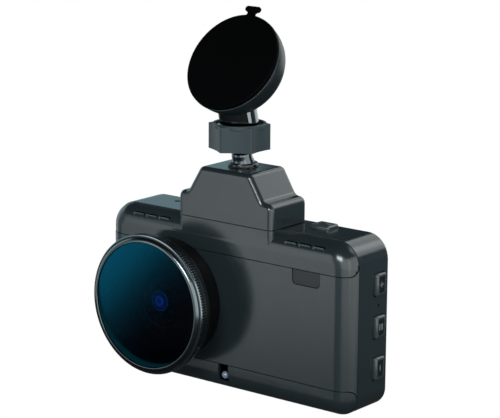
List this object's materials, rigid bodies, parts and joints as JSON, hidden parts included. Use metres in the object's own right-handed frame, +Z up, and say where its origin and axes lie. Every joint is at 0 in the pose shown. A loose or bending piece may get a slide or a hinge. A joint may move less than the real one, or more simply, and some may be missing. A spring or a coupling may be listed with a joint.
{
  "type": "dash camera",
  "caption": "Dash camera with a round filter over its lens, side buttons, a rear screen, and a top bracket on a ball joint with a lock nut and suction cup.",
  "frame": {"origin": "middle of the suction pad's flat face, which sticks to the windscreen", "axes": "+Z up; the lens looks along -Y; the side buttons are on +X"},
  "size_m": [0.0972, 0.0347, 0.1198],
  "materials": {
    "anthracite": "fine satin moulded plastic",
    "anthracite_nut": "satin moulded plastic",
    "ring_black": "black anodised, satin",
    "filter_blue": "blue anti-reflection coating",
    "lens_glass": "coated optical glass",
    "lens_black": "matt black",
    "button_grey": "satin",
    "window_dark": "smoked, semi-gloss",
    "clear_bead": "clear polished",
    "screen_glass": "black cover glass",
    "black_chrome": "black chrome",
    "pad_rubber": "smooth soft rubber",
    "dome_plastic": "satin",
    "board_green": "solder resist",
    "part_black": "moulded",
    "steel": "plain",
    "nylon": "natural"
  },
  "bodies": {
    "suction_mount": {"suction_pad": "pad_rubber", "suction_dome": "dome_plastic", "socket_neck": "black_chrome"},
    "lock_nut": {"lock_nut": "anthracite_nut"},
    "socket_liner": {"socket_liner": "nylon"},
    "ball_stem": {"ball_stem": "black_chrome", "stem_nut": "steel"},
    "bracket": {"bracket_housing": "anthracite", "bracket_plate": "part_black", "contact_block": "nylon", "magnet_left": "steel", "magnet_right": "steel", "stem_base_ring": "black_chrome"},
    "camera": {"front_panel": "anthracite", "top_front_cap": "anthracite", "bottom_front_cap": "anthracite", "rear_shell": "anthracite", "body_screw_1": "steel", "body_screw_2": "steel", "body_screw_3": "steel", "body_screw_4": "steel", "sensor_window": "window_dark", "indicator_lens": "clear_bead", "light_sensor_module": "part_black", "display_glass": "screen_glass", "lcd_panel": "part_black", "main_board": "board_green", "sensor_board": "board_green", "heat_spreader": "steel", "image_sensor": "part_black", "button_board": "board_green", "speaker": "part_black", "keeper_plate": "steel", "contact_pads": "nylon", "plus_switch": "steel", "menu_switch": "steel", "minus_switch": "steel", "power_switch": "steel", "microphone": "steel", "supercapacitor_1": "part_black", "supercapacitor_2": "part_black", "card_socket": "steel", "usb_socket": "steel", "lens_shroud": "anthracite", "filter_mount_ring": "ring_black", "lens_barrel": "lens_black", "front_element": "lens_glass", "aperture_ring": "part_black", "rear_element": "lens_glass", "lens_holder": "part_black"},
    "filter": {"filter_ring": "ring_black", "filter_glass": "filter_blue", "filter_retainer": "ring_black"},
    "plus_button": {"plus_button": "button_grey"},
    "menu_button": {"menu_button": "button_grey"},
    "minus_button": {"minus_button": "button_grey"},
    "power_button": {"power_button": "button_grey"},
    "memory_card": {"memory_card": "part_black"}
  },
  "joints": [
    {"name": "nut_turn", "type": "hinge", "parent": "suction_mount", "child": "lock_nut", "pos_m": [0, 0.0042, -0.02375], "axis": [0, 0, 1], "range_deg": [-120, 0]},
    {"name": "side_lean", "type": "hinge", "parent": "suction_mount", "child": "socket_liner", "pos_m": [0, 0.0042, -0.024], "axis": [0, 1, 0], "range_deg": [-12, 12]},
    {"name": "tilt", "type": "hinge", "parent": "socket_liner", "child": "ball_stem", "pos_m": [0, 0.0042, -0.024], "axis": [1, 0, 0], "range_deg": [-20, 12]},
    {"name": "turn", "type": "hinge", "parent": "ball_stem", "child": "bracket", "pos_m": [0, 0.0042, -0.024], "axis": [0, -0.2079, 0.9781], "continuous": true},
    {"name": "camera_release", "type": "slide", "parent": "bracket", "child": "camera", "axis": [0, 0, -1], "range_m": [0, 0.006]},
    {"name": "filter_turn", "type": "hinge", "parent": "camera", "child": "filter", "pos_m": [-0.0204, -0.0134, -0.077], "axis": [0, -1, 0], "continuous": true},
    {"name": "plus_press", "type": "slide", "parent": "camera", "child": "plus_button", "axis": [-1, 0, 0], "range_m": [0, 0.0005], "stiffness_N_per_m": 400, "springref_m": -0.002},
    {"name": "menu_press", "type": "slide", "parent": "camera", "child": "menu_button", "axis": [-1, 0, 0], "range_m": [0, 0.0005], "stiffness_N_per_m": 400, "springref_m": -0.002},
    {"name": "minus_press", "type": "slide", "parent": "camera", "child": "minus_button", "axis": [-1, 0, 0], "range_m": [0, 0.0005], "stiffness_N_per_m": 400, "springref_m": -0.002},
    {"name": "power_press", "type": "slide", "parent": "camera", "child": "power_button", "axis": [0, 0, -1], "range_m": [0, 0.0005], "stiffness_N_per_m": 400, "springref_m": -0.002},
    {"name": "card_slide", "type": "slide", "parent": "camera", "child": "memory_card", "axis": [-1, 0, 0], "range_m": [0, 0.004]}
  ]
}
